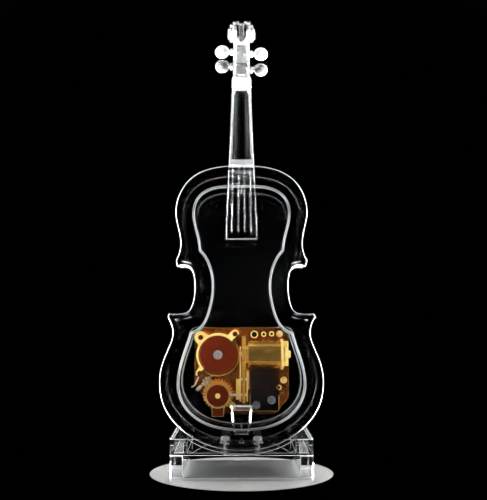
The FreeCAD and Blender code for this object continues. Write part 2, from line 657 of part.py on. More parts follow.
def barrel_cover():
    x, z = BARREL_X, AXIS_Z
    y = BARREL_FRONT
    cap = ycyl(BARREL_R, x, z, y, y + 1.2)
    ears, posts, holes = [], [], []
    for (ex, ez), r in zip(EAR_AT, (3.2, 2.1, 2.1)):
        d = V(ex - x, 0, ez - z)
        u = d.normalize()
        n = V(-u.z, 0, u.x)
        reach = sqrt((ex - x) ** 2 + (ez - z) ** 2)
        corners = [V(x, y, z) + n * (r + 2.2), V(x, y, z) + u * reach + n * r, V(x, y, z) + u * reach - n * r,
                   V(x, y, z) - n * (r + 2.2)]
        web = Part.Face(Part.makePolygon(corners + [corners[0]])).extrude(V(0, 1.2, 0))
        ears += [web, ycyl(r, ex, ez, y, y + 1.2)]
        posts.append(ycyl(EAR_POST_R, ex, ez, y + 0.6, BED_FRONT))
        holes.append(ycyl(0.7, ex, ez, y - 1, BED_FRONT + 1))
    body = cap.fuse(ears)
    lip = ycyl(BARREL_R, x, z, y - 1.2, y + 0.4)
    lip = lip.makeFillet(1.1, [e for e in lip.Edges if len(e.Vertexes) == 1 and abs(e.BoundBox.YMax - y + 1.2) < 1e-6])
    body = body.fuse(lip)
    skirt = ycyl(BARREL_R, x, z, y + 1.0, crown_pitch_y - 1.0)
    body = body.fuse([skirt] + posts)
    pocket = ycyl(BARREL_R - 1.5, x, z, y + 1.2, crown_pitch_y + 1)
    recess = ycyl(BARREL_R - 1.7, x, z, y - 2, y)
    gap = box(x + 6.4, x + 14, y + 1.9, 10, z - 4.4, z + 4.4)
    bore = ycyl(ARBOR_R + RUN, x, z, y - 3, y + 3)
    body = cut(body, [pocket, recess, gap, bore] + holes)
    return one(body.removeSplitter())


def cover_screws():
    s = pan_screw(0.68, 1.35, 0.9, BED_FRONT - BARREL_FRONT + 1.4)
    return [place(s, (x, BARREL_FRONT, z), (0, 1, 0), 30 + 50 * i) for i, (x, z) in enumerate(EAR_AT)]


def mainspring():
    """A flat coiled strip inside the fixed barrel."""
    inner, outer, turns, thick = 2.4, BARREL_R - 2.7, 7, 0.3
    y0, y1 = BARREL_FRONT + 1.7, crown_pitch_y - 1.6
    n = 24 * turns
    a_pts, b_pts = [], []
    for k in range(n + 1):
        a = 2 * pi * k / 24
        r = inner + (outer - inner) * k / n
        a_pts.append(V(BARREL_X + r * cos(a), y0, AXIS_Z + r * sin(a)))
        b_pts.append(V(BARREL_X + (r + thick) * cos(a), y0, AXIS_Z + (r + thick) * sin(a)))
    pts = a_pts + b_pts[::-1]
    return Part.Face(Part.makePolygon(pts + [pts[0]])).extrude(V(0, y1 - y0, 0))


def winding_arbor():
    x, z = BARREL_X, AXIS_Z
    bar = ycyl(ARBOR_R, x, z, BARREL_FRONT - 0.9, BODY_BACK + HATCH_T + 9.5)
    collar = ycyl(2.3, x, z, BARREL_FRONT - 0.55, BARREL_FRONT - 0.15)
    centre = ycyl(0.75, x, z, BARREL_FRONT - 2, BARREL_FRONT - 0.5)
    return one(bar.fuse(collar).cut(centre).removeSplitter())


def great_wheel():
    m = 2 * CROWN_R / CROWN_N
    back = crown_pitch_y + 1.15 * m + 1.5
    g = crown_gear(CROWN_N, CROWN_R, CROWN_FACE, (BARREL_X, AXIS_Z), crown_pitch_y, m, back, CROWN_R + 0.75, ARBOR_R, 0)
    hub = ycyl(3.6, BARREL_X, AXIS_Z, back - 0.1, back + 0.9).cut(ycyl(ARBOR_R, BARREL_X, AXIS_Z, -20, 20))
    click_hole = ycyl(0.5, BARREL_X - 6.6, AXIS_Z, back - 1.0, back + 1)
    return one(g.fuse(hub).cut(click_hole).removeSplitter()), back


def ratchet_wheel(back):
    """Saw-toothed wheel on the arbor, behind the great wheel."""
    n, r0, r1 = 14, 4.1, 5.0
    pts = []
    for i in range(n):
        a = 2 * pi * i / n
        b = 2 * pi * (i + 1) / n
        pts += [(BARREL_X + r1 * cos(a), AXIS_Z + r1 * sin(a)), (BARREL_X + r0 * cos(b), AXIS_Z + r0 * sin(b))]
    return poly(pts, back + 0.9, back + 2.0).cut(ycyl(ARBOR_R, BARREL_X, AXIS_Z, -20, 20))


def click(back):
    """Small pawl on the great wheel that drops behind the saw teeth."""
    x, z = BARREL_X - 6.6, AXIS_Z
    pin = ycyl(0.5, x, z, back - 1.0, back + 2.0)
    arm = poly([(x - 1.0, z - 0.9), (x + 0.9, z - 0.9), (x + 1.45, z + 2.2), (x + 1.05, z + 2.35), (x - 0.7, z + 1.1)],
               back + 1.0, back + 2.0)
    return one(arm.fuse(pin).removeSplitter())


def winding_key():
    """Two-winged key on the arbor's end, at the back."""
    x, z = BARREL_X, AXIS_Z
    y0 = BODY_BACK + HATCH_T + 1.0
    y1 = half_d - 1.2
    hub = ycyl(3.1, x, z, y0, y0 + 6.2)
    hub = hub.makeFillet(0.5, [e for e in hub.Edges if len(e.Vertexes) == 1])
    wing = Part.Face(Part.Wire([Part.Arc(V(x - 2.4, y0 + 3.2, z), V(x - 9.6, y0 + 7.0, z), V(x - 2.0, y1, z)).toShape(),
                                Part.Arc(V(x - 2.0, y1, z), V(x, y1 - 1.6, z), V(x + 2.0, y1, z)).toShape(),
                                Part.Arc(V(x + 2.0, y1, z), V(x + 9.6, y0 + 7.0, z), V(x + 2.4, y0 + 3.2, z)).toShape(),
                                Part.makeLine(V(x + 2.4, y0 + 3.2, z), V(x - 2.4, y0 + 3.2, z))]))
    wing.translate(V(0, 0, -0.8))
    blade = wing.extrude(V(0, 0, 1.6))
    holes = [cyl(1.9, (x + s * 5.4, y0 + 7.2, z - 3), (x + s * 5.4, y0 + 7.2, z + 3)) for s in (-1, 1)]
    bore = ycyl(ARBOR_R, x, z, y0 - 1, BODY_BACK + HATCH_T + 9.5)
    return one(cut(hub.fuse(blade), holes + [bore]).removeSplitter())


def cylinder_tube():
    t = xcyl(CYL_R, CYL_Y, AXIS_Z, CYL_X0, CYL_X1)
    return t.cut(xcyl(CYL_R - 0.8, CYL_Y, AXIS_Z, CYL_X0 - 1, CYL_X1 + 1))


def note_x(i):
    pitch = (COMB_X1 - COMB_X0) / NOTES
    return COMB_X0 + pitch * (i + 0.5)


def cylinder_pins():
    """Pins in eighteen rings, at angles that climb and fall like a tune; none faces the comb at rest."""
    pins = []
    for i in range(NOTES):
        for k in range(5):
            a = radians((137.5 * (i + 1) + 73.0 * k + 29.0 * ((i * k) % 4)) % 360)
            if cos(a - radians(270)) > 0.97:
                a += radians(20)
            u = V(0, cos(a), sin(a))
            c = V(note_x(i), CYL_Y, AXIS_Z)
            pins.append(Part.makeCylinder(PIN_R, PIN_H, c + u * (CYL_R - 0.002), u))
    return pins


def cylinder_caps():
    """Inner end discs that carry the tube on its arbor."""
    out = []
    for x0, x1 in ((CYL_X0, CYL_X0 + 1.0), (CYL_X1 - 1.0, CYL_X1)):
        out.append(xcyl(CYL_R - 0.8, CYL_Y, AXIS_Z, x0, x1).cut(xcyl(CYL_ARBOR_R, CYL_Y, AXIS_Z, x0 - 1, x1 + 1)))
    return out


def end_flange():
    f = xcyl(8.0, CYL_Y, AXIS_Z, CYL_X1, CYL_X1 + 1.3)
    f = f.makeFillet(0.3, [e for e in f.Edges if len(e.Vertexes) == 1])
    return f.cut(xcyl(CYL_ARBOR_R, CYL_Y, AXIS_Z, CYL_X1 - 1, CYL_X1 + 3))


def cylinder_gear():
    g = x_gear(GEAR_N, GEAR_M, (CYL_Y, AXIS_Z), GEAR_X0, GEAR_X1, -90, CYL_ARBOR_R)
    boss = xcyl(4.6, CYL_Y, AXIS_Z, GEAR_X1, CYL_X0).cut(xcyl(CYL_ARBOR_R, CYL_Y, AXIS_Z, GEAR_X1 - 1, CYL_X0 + 1))
    holes = []
    for k in range(5):
        a = 2 * pi * (k + 0.5) / 5
        holes.append(xcyl(1.5, CYL_Y + 6.3 * cos(a), AXIS_Z + 6.3 * sin(a), GEAR_X0 - 1, GEAR_X1 + 1))
    return one(cut(g.fuse(boss), holes).removeSplitter())


def cylinder_pinion():
    m = 2 * CROWN_R / CROWN_N
    x0 = BARREL_X + CROWN_R - CROWN_FACE / 2
    return x_gear(PINION_N, m, (CYL_Y, AXIS_Z), x0, x0 + CROWN_FACE, 0, CYL_ARBOR_R, 0.8, 1.15)


def cylinder_arbor():
    return xcyl(CYL_ARBOR_R, CYL_Y, AXIS_Z, BARREL_X + CROWN_R - CROWN_FACE / 2 - 0.1, 25.0)


def train_plate_left():
    """Standing plate between the barrel and the cylinder gear; it carries three arbors."""
    x0, x1 = -1.0, -0.2
    web = box(x0, x1, -8.2, BED_FRONT, 37.6, AXIS_Z + 3.6)
    web = web.makeFillet(1.6, [e for e in web.Edges if e.BoundBox.YMax < -8.1 and e.BoundBox.XLength > 0.5])
    foot = box(x0 - 1.9, x1, BED_FRONT - 0.9, BED_FRONT, 37.6, 48.5)
    holes = [xcyl(r + RUN, CYL_Y, z, x0 - 1, x1 + 1) for r, z in ((CYL_ARBOR_R, AXIS_Z), (0.7, idler_z), (0.7, cross_z))]
    return one(cut(web.fuse(foot), holes).removeSplitter())


def train_plate_right():
    x0, x1 = 2.6, 3.3
    web = box(x0, x1, -8.2, BED_FRONT, 37.6, 53.0)
    web = web.makeFillet(1.4, [e for e in web.Edges if e.BoundBox.YMax < -8.1 and e.BoundBox.XLength > 0.5])
    foot = box(x0, x1 + 0.8, BED_FRONT - 0.9, BED_FRONT, 43.0, 53.0)
    holes = [xcyl(0.7 + RUN, CYL_Y, z, x0 - 1, x1 + 1) for z in (idler_z, cross_z)]
    return one(cut(web.fuse(foot), holes).removeSplitter())


def bearing_right():
    x0, x1 = 22.4, 23.6
    web = box(x0, x1, -8.0, BED_FRONT, AXIS_Z - 3.6, AXIS_Z + 3.6)
    web = web.makeFillet(2.4, [e for e in web.Edges if e.BoundBox.YMax < -7.9 and e.BoundBox.XLength > 0.5])
    foot = box(x0 - 0.4, x1 + 1.2, BED_FRONT - 1.0, BED_FRONT, AXIS_Z - 6.6, AXIS_Z + 6.6)
    foot = foot.makeFillet(0.5, [e for e in foot.Edges if abs(e.BoundBox.YLength - 1.0) < 1e-6])
    bush = xcyl(1.9, CYL_Y, AXIS_Z, x1, x1 + 1.9)
    bush = bush.makeFillet(0.4, [e for e in bush.Edges if len(e.Vertexes) == 1 and e.BoundBox.XMin > x1 + 1])
    bore = xcyl(CYL_ARBOR_R + RUN, CYL_Y, AXIS_Z, x0 - 1, 25.1)
    return one(web.fuse([foot, bush]).cut(bore).removeSplitter())


def comb():
    """Steel plate with eighteen teeth, the long low notes on the left."""
    y0, y1 = COMB_Y - COMB_T / 2, COMB_Y + COMB_T / 2
    reach = CYL_R + PIN_H + 0.22
    top = AXIS_Z - sqrt(reach ** 2 - (COMB_Y - CYL_Y) ** 2)
    plate_ = box(COMB_X0, COMB_X1, y0, y1, COMB_Z0, COMB_ROOT_Z + 0.4)
    teeth = []
    pitch = (COMB_X1 - COMB_X0) / NOTES
    for i in range(NOTES):
        x = note_x(i)
        thick = 0.42
        teeth.append(box(x - pitch * 0.39, x + pitch * 0.39, COMB_Y - thick / 2, COMB_Y + thick / 2,
                         COMB_ROOT_Z, top))
    slope = poly([(COMB_X0 - 1, COMB_ROOT_Z - 6), (COMB_X1 + 1, COMB_ROOT_Z - 6), (COMB_X1 + 1, COMB_ROOT_Z + 3.5),
                  (COMB_X0 - 1, COMB_ROOT_Z - 1.5)], y0, y1).common(box(COMB_X0, COMB_X1, y0, y1, COMB_Z0, 60))
    holes = [ycyl(1.15, x, z, -20, 20) for x, z in COMB_SCREWS]
    return one(cut(plate_.fuse([slope] + teeth), holes).removeSplitter())


COMB_SCREWS = [(7.6, 35.7), (15.6, 38.3)]


def comb_weights():
    """Lead tuning pieces under the low notes' tips."""
    out = []
    pitch = (COMB_X1 - COMB_X0) / NOTES
    for i in range(8):
        x = note_x(i)
        h = 2.6 - 0.22 * i
        y = COMB_Y + 0.21
        out.append(box(x - pitch * 0.34, x + pitch * 0.34, y, y + 0.9 + 0.3 * (7 - i) / 7, 50.6 - h, 52.0))
    return out


def comb_base():
    y1 = COMB_Y + COMB_T / 2
    b = box(COMB_X0 - 0.2, COMB_X1 + 0.2, y1, BED_FRONT, COMB_Z0 - 0.2, COMB_ROOT_Z + 0.2)
    b = b.makeFillet(0.8, [e for e in b.Edges if abs(e.BoundBox.YLength - (BED_FRONT - y1)) < 1e-6])
    b = b.cut(box(COMB_X0 + 2, COMB_X1 - 2, y1 + 2.2, BED_FRONT - 1.6, COMB_Z0 - 2, COMB_ROOT_Z - 1.6))
    holes = [ycyl(0.72, x, z, -20, y1 + 2.0) for x, z in COMB_SCREWS]
    return one(cut(b, holes))


def comb_screws():
    s = pan_screw(0.7, 2.1, 1.2, 2.7)
    return [place(s, (x, COMB_Y - COMB_T / 2, z), (0, 1, 0), 15 + 60 * i) for i, (x, z) in enumerate(COMB_SCREWS)]


def idler_wheel():
    return x_gear(IDLER_N, GEAR_M, (CYL_Y, idler_z), GEAR_X0 + 0.2, GEAR_X1 - 0.2, 90 + 180.0 / IDLER_N, 0.7)


def idler_arbor():
    return xcyl(0.7, CYL_Y, idler_z, -1.0, 3.3)


def cross_wheel():
    return x_gear(CROSS_N, GEAR_M, (CYL_Y, cross_z), GEAR_X0 + 0.2, GEAR_X1 - 0.2, 90, 0.7)


def cross_pinion():
    x0 = GOV_X + GOV_CROWN_R - GOV_CROWN_FACE / 2
    m = 2 * GOV_CROWN_R / GOV_CROWN_N
    return x_gear(GOV_PINION_N, m, (CYL_Y, cross_z), x0, x0 + GOV_CROWN_FACE, 0, 0.7, 0.75, 1.15)


def cross_arbor():
    return xcyl(0.7, CYL_Y, cross_z, GOV_X + GOV_CROWN_R - GOV_CROWN_FACE / 2 - 0.2, 3.3)


def governor_wheel():
    m = 2 * GOV_CROWN_R / GOV_CROWN_N
    back = gov_crown_y + 1.15 * m + 0.7
    c = crown_gear(GOV_CROWN_N, GOV_CROWN_R, GOV_CROWN_FACE, (GOV_X, cross_z), gov_crown_y, m, back,
                   GOV_CROWN_R + 0.6, 0.8, 0)
    y0, y1 = WORM_Y - 0.75, WORM_Y + 0.75
    lead = atan2(WORM_M, 2 * WORM_R)
    twist = (y1 - y0) * tan(lead) / worm_wheel_r
    sections = []
    for k in range(3):
        y = y0 + (y1 - y0) * k / 2
        turn = degrees(WORM_TWIST * twist * (k / 2 - 0.5)) + WORM_DIR + 180.0 / WORM_N
        pts = [V(GOV_X + a, y, cross_z + b) for a, b in
               spur_outline(WORM_N, WORM_M, turn, BACKLASH + 0.04, 0.75, 1.25)]
        sections.append(Part.makePolygon(pts + [pts[0]]))
    rim = Part.makeLoft(sections, True, True)
    rim = rim.cut(ycyl(0.8, GOV_X, cross_z, -20, 20))
    link = ycyl(2.4, GOV_X, cross_z, back - 0.2, y0 + 0.2).cut(ycyl(0.8, GOV_X, cross_z, -20, 20)) if y0 > back else None
    return one(c.fuse([rim] + ([link] if link else [])).removeSplitter())


WORM_TWIST = -1.0


def worm_frame():
    """The worm's centre and its direction."""
    a = radians(WORM_DIR)
    d = worm_wheel_r + WORM_R
    centre = V(GOV_X + d * cos(a), WORM_Y, cross_z + d * sin(a))
    along = V(sin(a), 0, -cos(a))
    return centre, along


def aim(shape, centre, along, facing):
    """Take a shape from +Z and +X to the directions along and facing."""
    z = V(along).normalize()
    x = V(facing).normalize()
    y = z.cross(x)
    m = FreeCAD.Matrix(x.x, y.x, z.x, centre.x, x.y, y.y, z.y, centre.y, x.z, y.z, z.z, centre.z, 0, 0, 0, 1)
    s = shape.copy()
    s.transformShape(m)
    return s


WORM_LEN = 5.4


def governor_worm():
    c, t = worm_frame()
    inward = V(GOV_X, WORM_Y, cross_z) - c
    return one(aim(helix_worm(WORM_R, WORM_M, WORM_LEN, 0.45), c, t, inward))


def worm_arbor():
    c, t = worm_frame()
    return cyl(0.45, tuple(c - t * 7.6), tuple(c + t * 4.0))


def fly():
    """Two-bladed air brake on the worm's shaft."""
    c, t = worm_frame()
    hub = Part.makeCylinder(0.9, 3.0, V(0, 0, -6.7))
    vane = Part.makeBox(5.0, 0.35, 2.6, V(-2.5, -0.175, -6.5))
    vane = vane.makeFillet(0.5, [e for e in vane.Edges if abs(e.BoundBox.YLength - 0.35) < 1e-6])
    f = hub.fuse(vane).cut(Part.makeCylinder(0.45, 5, V(0, 0, -8)))
    return one(aim(f.removeSplitter(), c, t, V(0, -1, 0)))


def worm_bearings():
    """Two small posts on the bed that hold the worm's shaft."""
    c, t = worm_frame()
    out = []
    for s0, s1 in ((-7.7, -6.9), (3.1, 3.9)):
        b = Part.makeBox(0.8 * 2.4, BED_FRONT - WORM_Y + 1.2, s1 - s0, V(-0.96, -1.2, s0))
        post = aim(b, c, t, V(t.z, 0, -t.x))
        out.append(post.cut(cyl(0.45 + RUN, tuple(c - t * 9), tuple(c + t * 6))))
    return out


def governor_arbor():
    bar = ycyl(0.8, GOV_X, cross_z, -10.0, HATCH_IN - 0.8)
    hub = ycyl(1.35, GOV_X, cross_z, -10.5, -9.75)
    hub = hub.makeFillet(0.25, [e for e in hub.Edges if len(e.Vertexes) == 1 and e.BoundBox.YMax < -10.4])
    return one(bar.fuse(hub).removeSplitter())


def governor_bracket():
    """Keyhole-shaped top plate with a leg folded down to the bed."""
    y0, y1 = -9.6, -8.8
    disc = ycyl(6.3, GOV_X, cross_z, y0, y1)
    rim = ycyl(6.3, GOV_X, cross_z, y0 - 0.25, y0 + 0.1).cut(ycyl(5.85, GOV_X, cross_z, y0 - 1, y1 + 1))
    tab = box(GOV_X - 3.0, GOV_X + 3.0, y0, y1, 30.2, cross_z)
    leg = box(GOV_X - 3.0, GOV_X + 3.0, y0, BED_FRONT, 30.2, 31.1)
    foot = box(GOV_X - 3.0, GOV_X + 3.0, BED_FRONT - 0.9, BED_FRONT, 30.2, 35.0)
    b = disc.fuse([rim, tab, leg, foot]).cut(ycyl(0.8 + RUN, GOV_X, cross_z, -12, -5))
    return one(b.removeSplitter())


def stop_wire():
    """Bent wire that can be pushed against the fly."""
    a, b = V(-22.6, 2.2, 50.0), V(-24.4, -1.6, 45.6)
    path = [cyl(0.3, (-22.6, BED_FRONT, 50.0), tuple(a)), cyl(0.3, tuple(a), tuple(b)), Part.makeSphere(0.3, a),
            cyl(0.3, tuple(b), (-26.2, -1.6, 44.6)), Part.makeSphere(0.3, b)]
    return one(fuse(path))


save("front_plate", front_plate())
save("rib_left", half(rib_band(), -1))
save("rib_right", half(rib_band(), 1))
save("chamber_left", half(chamber_band(), -1))
save("chamber_right", half(chamber_band(), 1))
save("back_plate", back_plate())
save("movement_hatch", movement_hatch())
save("tailpiece", tailpiece())
save("stand_base", stand_base())
save("stand_saddle", stand_saddle())
save("stand_screws", Part.makeCompound(stand_screws()))
save("neck_and_scroll", neck_and_scroll())
for i, (px, pz) in enumerate(PEGS):
    save("peg_%d" % (i + 1), peg(px, pz))
save("fingerboard", fingerboard())
save("nut", nut())
save("bedplate", bedplate())
save("movement_screws", Part.makeCompound(movement_screws()))
save("barrel_cover", barrel_cover())
save("cover_screws", Part.makeCompound(cover_screws()))
save("mainspring", mainspring())
save("winding_arbor", winding_arbor())
wheel, wheel_back = great_wheel()
save("great_wheel", wheel)
save("ratchet_wheel", ratchet_wheel(wheel_back))
save("click", click(wheel_back))
save("winding_key", winding_key())
save("cylinder_tube", cylinder_tube())
save("cylinder_pins", Part.makeCompound(cylinder_pins()))
save("cylinder_caps", Part.makeCompound(cylinder_caps()))
save("end_flange", end_flange())
save("cylinder_gear", cylinder_gear())
save("cylinder_pinion", cylinder_pinion())
save("cylinder_arbor", cylinder_arbor())
save("train_plate_left", train_plate_left())
save("train_plate_right", train_plate_right())
save("bearing_right", bearing_right())
save("comb", comb())
save("comb_weights", Part.makeCompound(comb_weights()))
save("comb_base", comb_base())
save("comb_screws", Part.makeCompound(comb_screws()))
save("idler_wheel", idler_wheel())
save("idler_arbor", idler_arbor())
save("cross_wheel", cross_wheel())
save("cross_pinion", cross_pinion())
save("cross_arbor", cross_arbor())
save("governor_wheel", governor_wheel())
save("governor_worm", governor_worm())
save("worm_arbor", worm_arbor())
save("fly", fly())
save("worm_bearings", Part.makeCompound(worm_bearings()))
save("governor_arbor", governor_arbor())
save("governor_bracket", governor_bracket())
save("stop_wire", stop_wire())

for name, shape in NODES.items():
    b = shape.BoundBox
    print("%-18s %2d solids valid %s  x %.1f %.1f  y %.1f %.1f  z %.1f %.1f  vol %.1f" % (
        name, len(shape.Solids), shape.isValid(), b.XMin, b.XMax, b.YMin, b.YMax, b.ZMin, b.ZMax, shape.Volume))
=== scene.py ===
"""The clear violin-shaped music box in its studio: finishes, painted highlights and painted dark reflections,
floor, lights and camera.

Lengths are in metres where Blender takes them. The named places and widths below are in millimetres.
"""
import json
import math

import bmesh
import bpy
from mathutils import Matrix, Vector


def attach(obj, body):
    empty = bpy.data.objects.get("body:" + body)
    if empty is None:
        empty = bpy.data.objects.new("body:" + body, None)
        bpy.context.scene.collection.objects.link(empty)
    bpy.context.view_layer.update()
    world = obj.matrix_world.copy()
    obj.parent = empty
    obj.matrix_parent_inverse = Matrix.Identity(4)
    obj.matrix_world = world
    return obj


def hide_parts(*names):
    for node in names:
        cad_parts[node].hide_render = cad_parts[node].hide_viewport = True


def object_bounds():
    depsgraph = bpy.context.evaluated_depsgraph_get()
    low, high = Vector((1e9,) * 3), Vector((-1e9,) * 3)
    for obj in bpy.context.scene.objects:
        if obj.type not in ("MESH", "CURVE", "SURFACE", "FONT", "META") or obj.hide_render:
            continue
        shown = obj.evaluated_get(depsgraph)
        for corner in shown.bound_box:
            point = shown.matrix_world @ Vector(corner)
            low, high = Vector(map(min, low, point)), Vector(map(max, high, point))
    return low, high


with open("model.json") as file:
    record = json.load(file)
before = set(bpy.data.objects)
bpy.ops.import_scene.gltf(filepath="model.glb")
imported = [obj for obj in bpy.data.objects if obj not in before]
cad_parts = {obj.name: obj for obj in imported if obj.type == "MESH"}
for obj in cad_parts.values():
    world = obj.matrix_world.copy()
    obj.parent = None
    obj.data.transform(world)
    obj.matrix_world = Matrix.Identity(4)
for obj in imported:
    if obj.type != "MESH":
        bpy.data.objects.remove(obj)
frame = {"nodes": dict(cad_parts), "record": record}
CAD_BOX = [list(corner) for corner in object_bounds()]
MM = 0.001
scene = bpy.context.scene
NODES = frame["nodes"]
RECORD = frame["record"]
BODY_OF = {n: b for b, names in RECORD["behaviour"]["bodies"].items() for n in names}
SLOT_OF = {p["node"]: p["material_slot"] for p in RECORD["subparts"]}
AXIS_AT = {j["name"]: [v / MM for v in j["pos_m"]] for j in RECORD["behaviour"]["joints"]}

# ---- places on the object, in mm -----------------------------------------------------------
HEIGHT = CAD_BOX[1][2] / MM
NUT_TOP = HEIGHT - 35.6            # the neck carries the strong painted highlight from here up to the pegbox
PEGBOX_Z = HEIGHT - 29.1           # lower end of the pegbox
PEGBOX_TURN = HEIGHT - 21.1        # the pegbox front has the mild painted highlight below this and the strong one above
SCROLL_Z = HEIGHT - 10.8           # lower end of the scroll
SCROLL_GROOVE = 2.3                # half width of the scroll's clear middle
# the neck below this also carries the strong painted highlight
HEEL_TOP = 161.9
STRING_Y = -19.65                  # the string ridges stand out in front of this
WAIST_LOW, WAIST_HIGH = 70.0, 115.0
WAIST_X = 24.0                     # the waist's ledges lie outside this half width
BODY_BACK = 10.0
BED_FRONT = 5.0
# the stand's faces below this carry the strong painted highlight
STAND_FLOOR = 1.9
BARREL_X, BARREL_Z = AXIS_AT["key_turn"][0], AXIS_AT["key_turn"][2]
BARREL_DARK_R = 9.2                # radius of the painted dark reflection on the barrel cover's front face
SHRINK = 0.012                     # clear skins lie this far inside the CAD faces
FLOOR_R, FLOOR_FOOT_R = 46.0, 48.0      # the floor disc's top and its foot
FLOOR_T = 0.3

# planes that cut a node's faces where a painted highlight begins: a point and a normal
CUTS = {
    "stand_base": ((0, 0, STAND_FLOOR), (0, 0, 1)),
    "neck_and_scroll": ((0, 0, PEGBOX_TURN), (0, 0, 1)),
    "barrel_cover": ((BARREL_X, 0, BARREL_Z), (-0.7, 0, 0.7)),
}

# how far each node's edges are rounded, in mm; a node that isn't here keeps sharp edges
ROUNDING = {
    0.55: ("front_plate",),
    0.5: ("stand_base",),
    0.35: ("winding_arbor",),
    0.34: ("chamber_left", "chamber_right"),
    0.3: ("stand_saddle", "neck_and_scroll"),
    0.25: ("tailpiece", "winding_key"),
    0.22: ("back_plate", "cover_screws"),
    0.2: ("fingerboard", "bedplate", "comb_screws"),
    0.15: ("movement_hatch", "nut", "barrel_cover", "comb_base"),
    0.12: ("train_plate_left", "bearing_right", "governor_bracket"),
    0.1: ("peg_1", "peg_2", "peg_3", "peg_4", "train_plate_right"),
    0.08: ("cylinder_tube", "worm_bearings", "comb_weights"),
    0.06: ("stand_screws", "movement_screws", "cylinder_arbor"),
    0.05: ("great_wheel", "end_flange", "comb", "click"),
    0.04: ("cylinder_gear", "cylinder_pinion", "governor_wheel", "ratchet_wheel", "fly"),
    0.03: ("idler_wheel", "cross_wheel", "cross_pinion"),
}
EDGE = {node: width for width, nodes in ROUNDING.items() for node in nodes}


# ---- shader building blocks ----------------------------------------------------------------
def new_material(name):
    mat = bpy.data.materials.new(name)
    mat.use_nodes = True
    nt = mat.node_tree
    return mat, nt, nt.nodes["Principled BSDF"]


def noise(nt, scale, detail=4.0, rough=0.55, stretch=None):
    coord = nt.nodes.new("ShaderNodeTexCoord")
    tex = nt.nodes.new("ShaderNodeTexNoise")
    tex.inputs["Scale"].default_value = scale
    tex.inputs["Detail"].default_value = detail
    tex.inputs["Roughness"].default_value = rough
    if stretch:
        mapping = nt.nodes.new("ShaderNodeMapping")
        mapping.inputs["Scale"].default_value = stretch
        nt.links.new(coord.outputs["Object"], mapping.inputs["Vector"])
        nt.links.new(mapping.outputs["Vector"], tex.inputs["Vector"])
    else:
        nt.links.new(coord.outputs["Object"], tex.inputs["Vector"])
    return tex.outputs["Fac"]


def blend_colors(nt, fac, low, color_a, high, color_b):
    """Colour a up to fac = low, colour b from fac = high, and a blend between them."""
    ramp = nt.nodes.new("ShaderNodeValToRGB")
    first, last = ramp.color_ramp.elements
    first.position, first.color = low, color_a
    last.position, last.color = high, color_b
    nt.links.new(fac, ramp.inputs["Fac"])
    return ramp.outputs["Color"]


def map_range(nt, value, from_min, from_max, to_min, to_max):
    node = nt.nodes.new("ShaderNodeMapRange")
    ends = {"From Min": from_min, "From Max": from_max, "To Min": to_min, "To Max": to_max}
    for socket, number in ends.items():
        node.inputs[socket].default_value = number
    nt.links.new(value, node.inputs["Value"])
    return node


def bump(nt, bsdf, layers):
    last = None
    for fac, strength, distance in layers:
        b = nt.nodes.new("ShaderNodeBump")
        b.inputs["Strength"].default_value = strength
        b.inputs["Distance"].default_value = distance
        nt.links.new(fac, b.inputs["Height"])
        if last:
            nt.links.new(last, b.inputs["Normal"])
        last = b.outputs["Normal"]
    nt.links.new(last, bsdf.inputs["Normal"])


# ---- materials -----------------------------------------------------------------------------
ACRYLIC_IOR = 1.49
WHITE = (1.0, 1.0, 1.0, 1)
ICE = (0.97, 0.985, 0.99, 1)
# white of the painted highlight on the acrylic
HIGHLIGHT_WHITE = (0.95, 0.97, 0.98, 1)
EVEN = (1.0, 1.0, 1.0)


def clear_plastic(name, tint, wave, roughness=0.015):
    """Polished moulded acrylic: faint tint changes and a very slight waviness from the mould."""
    mat, nt, bsdf = new_material(name)
    bsdf.inputs["Transmission Weight"].default_value = 1.0
    bsdf.inputs["IOR"].default_value = ACRYLIC_IOR
    bsdf.inputs["Roughness"].default_value = roughness
    nt.links.new(blend_colors(nt, noise(nt, 30.0, 3.0), 0.35, ICE, 0.65, tint), bsdf.inputs["Base Color"])
    bump(nt, bsdf, [(noise(nt, 55.0, 2.0), wave, 0.0006), (noise(nt, 900.0, 2.0), wave * 0.3, 0.00005)])
    return mat


def highlight_plastic(name, clear, rough, tint=HIGHLIGHT_WHITE):
    """Painted highlight on the acrylic: a white diffuse layer over the clear on its edges and chosen places,
    so they show as bright lines.
    """
    mat, nt, bsdf = new_material(name)
    bsdf.inputs["Transmission Weight"].default_value = clear
    bsdf.inputs["IOR"].default_value = ACRYLIC_IOR
    bsdf.inputs["Roughness"].default_value = rough
    nt.links.new(blend_colors(nt, noise(nt, 60.0, 4.0), 0.3, tint, 0.7, WHITE), bsdf.inputs["Base Color"])
    bump(nt, bsdf, [(noise(nt, 120.0, 3.0), 0.05, 0.0003), (noise(nt, 1400.0, 2.0), 0.06, 0.00003)])
    return mat


def metal(name, dark, light, rough_low, rough_high, grain=EVEN, scale=240.0):
    """Metal with a faint brushed grain, small colour changes and fine wear in its gloss."""
    mat, nt, bsdf = new_material(name)
    bsdf.inputs["Metallic"].default_value = 1.0
    cloud = noise(nt, scale, 5.0)
    lines = noise(nt, scale * 3.0, 6.0, 0.6, grain)
    nt.links.new(blend_colors(nt, cloud, 0.3, (*dark, 1), 0.7, (*light, 1)), bsdf.inputs["Base Color"])
    worn = map_range(nt, lines, 0.3, 0.7, rough_low, rough_high)
    nt.links.new(worn.outputs["Result"], bsdf.inputs["Roughness"])
    bump(nt, bsdf, [(lines, 0.06, 0.00002), (cloud, 0.03, 0.00005)])
    return mat


CLEAR = clear_plastic("clear_acrylic_body", (0.995, 1.0, 1.0, 1), 0.003)
WALLS = clear_plastic("acrylic_walls", WHITE, 0.004, 0.01)
